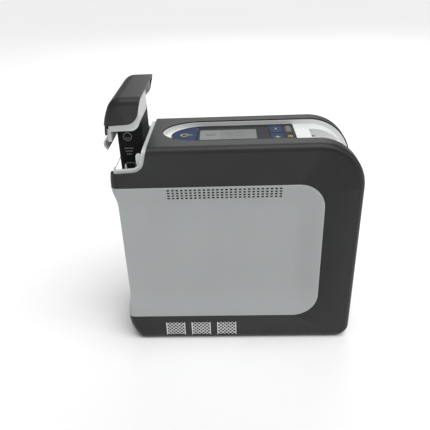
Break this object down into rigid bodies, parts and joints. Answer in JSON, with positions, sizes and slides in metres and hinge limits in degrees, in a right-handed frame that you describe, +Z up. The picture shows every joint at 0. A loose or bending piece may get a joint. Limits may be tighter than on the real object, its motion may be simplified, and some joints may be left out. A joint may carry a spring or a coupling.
{
  "type": "oxygen concentrator",
  "caption": "Portable oxygen concentrator with a slide-out battery, sprung release bar, keypad and display on top, an outlet spigot in a well, and compressor, sieve columns and fan inside",
  "frame": {"origin": "centre of the footprint on the surface that the rubber feet stand on", "axes": "+X to the right along the width, away from the battery end; +Y to the rear across the depth; +Z up"},
  "size_m": [0.2527, 0.097, 0.2835],
  "materials": {
    "shell_light": "fine-grained satin, pale cool grey-white",
    "shell_dark": "fine spark-eroded texture, charcoal",
    "fascia_light": "satin, pale grey-white",
    "overlay_dark": "printed polyester film, semi-matt charcoal",
    "key_blue": "printed blue key film, semi-matt",
    "display_window": "clear window over a grey reflective display",
    "nozzle_grey": "moulded nylon",
    "bezel_light": "satin moulded",
    "bay_black": "moulded, dull",
    "battery_case": "moulded dark grey case",
    "cap_dark": "fine spark-eroded texture, charcoal",
    "latch_light": "satin moulded",
    "grille_silver": "silver finish mesh",
    "foot_rubber": "moulded rubber",
    "steel": "zinc plated",
    "cast_alloy": "die cast, bead blasted",
    "tube_alloy": "drawn and anodised",
    "motor_can": "black enamel",
    "piston_seal": "filled cup seal on an alloy rod",
    "nylon_grey": "moulded nylon",
    "fan_black": "moulded",
    "zeolite": "packed beads",
    "valve_brass": "turned brass bodies",
    "foam": "open-cell foam",
    "tube_silicone": "translucent silicone",
    "board_green": "green lacquered circuit board",
    "cell_wrap": "blue shrink sleeve",
    "lead_black": "insulated lead",
    "isolator": "soft mount"
  },
  "bodies": {
    "housing": {"panel_front": "shell_light", "panel_rear": "shell_light", "housing_front": "shell_dark", "housing_rear": "shell_dark", "top_fascia": "fascia_light", "keypad_overlay": "overlay_dark", "lcd_window": "display_window", "outlet_nozzle": "nozzle_grey", "outlet_filter": "nylon_grey", "bay_bezel": "bezel_light", "bay_sleeve": "bay_black", "bay_connector": "bay_black", "chassis_tray": "nylon_grey", "compressor_crankcase": "cast_alloy", "cylinder_front": "cast_alloy", "cylinder_rear": "cast_alloy", "compressor_motor": "motor_can", "compressor_mounts": "isolator", "fan_frame": "fan_black", "sieve_column_front": "tube_alloy", "sieve_column_rear": "tube_alloy", "sieve_beds": "zeolite", "column_head_lower": "nylon_grey", "column_head_upper": "nylon_grey", "product_tank": "tube_alloy", "valve_manifold": "cast_alloy", "solenoid_valves": "valve_brass", "intake_muffler": "nylon_grey", "exhaust_muffler": "nylon_grey", "oxygen_sensor": "nylon_grey", "cooling_coil": "tube_alloy", "gas_tubes": "tube_silicone", "intake_filters": "foam", "main_board": "board_green", "display_board": "board_green", "lcd_module": "display_window", "alarm_sounder": "fan_black", "power_inlet": "bay_black", "wiring_leads": "lead_black", "outlet_grilles_front": "grille_silver", "outlet_grilles_rear": "grille_silver", "rubber_feet": "foot_rubber", "housing_screws": "steel"},
    "power_key": {"power_button": "key_blue"},
    "plus_key": {"plus_button": "key_blue"},
    "minus_key": {"minus_button": "key_blue"},
    "crank_rotor": {"motor_rotor": "steel"},
    "front_piston": {"piston_front": "piston_seal"},
    "rear_piston": {"piston_rear": "piston_seal"},
    "fan_wheel": {"fan_impeller": "fan_black"},
    "battery": {"battery_case": "battery_case", "battery_cells": "cell_wrap", "battery_board": "board_green", "battery_lid": "battery_case", "cap_shell": "cap_dark", "cap_liner": "bezel_light", "latch_pin": "steel"},
    "release_bar": {"latch_bar": "latch_light"}
  },
  "joints": [
    {"name": "power_press", "type": "slide", "parent": "housing", "child": "power_key", "axis": [0, 0, -1], "range_m": [0, 0.00025], "stiffness_N_per_m": 600, "springref_m": -0.0004},
    {"name": "plus_press", "type": "slide", "parent": "housing", "child": "plus_key", "axis": [0, 0, -1], "range_m": [0, 0.00025], "stiffness_N_per_m": 600, "springref_m": -0.0004},
    {"name": "minus_press", "type": "slide", "parent": "housing", "child": "minus_key", "axis": [0, 0, -1], "range_m": [0, 0.00025], "stiffness_N_per_m": 600, "springref_m": -0.0004},
    {"name": "crank_spin", "type": "hinge", "parent": "housing", "child": "crank_rotor", "pos_m": [0.03, 0, 0.062], "axis": [1, 0, 0], "continuous": true},
    {"name": "front_piston_slide", "type": "slide", "parent": "housing", "child": "front_piston", "axis": [0, -1, 0], "range_m": [-0.0035, 0.0035]},
    {"name": "rear_piston_slide", "type": "slide", "parent": "housing", "child": "rear_piston", "axis": [0, 1, 0], "range_m": [-0.0035, 0.0035]},
    {"name": "fan_spin", "type": "hinge", "parent": "housing", "child": "fan_wheel", "pos_m": [-0.045, 0, 0.035], "axis": [0, 0, 1], "continuous": true},
    {"name": "battery_slide", "type": "slide", "parent": "housing", "child": "battery", "axis": [0, 0, 1], "range_m": [-0.0485, 0.14]},
    {"name": "release_bar_tilt", "type": "hinge", "parent": "battery", "child": "release_bar", "pos_m": [-0.1216, 0, 0.2421], "axis": [0, 1, 0], "range_deg": [-15, 0], "stiffness_Nm_per_rad": 0.03, "springref_deg": 8.59}
  ],
  "couplings": [
    {"joint": "rear_piston_slide", "follows": "front_piston_slide", "ratio": 1}
  ]
}
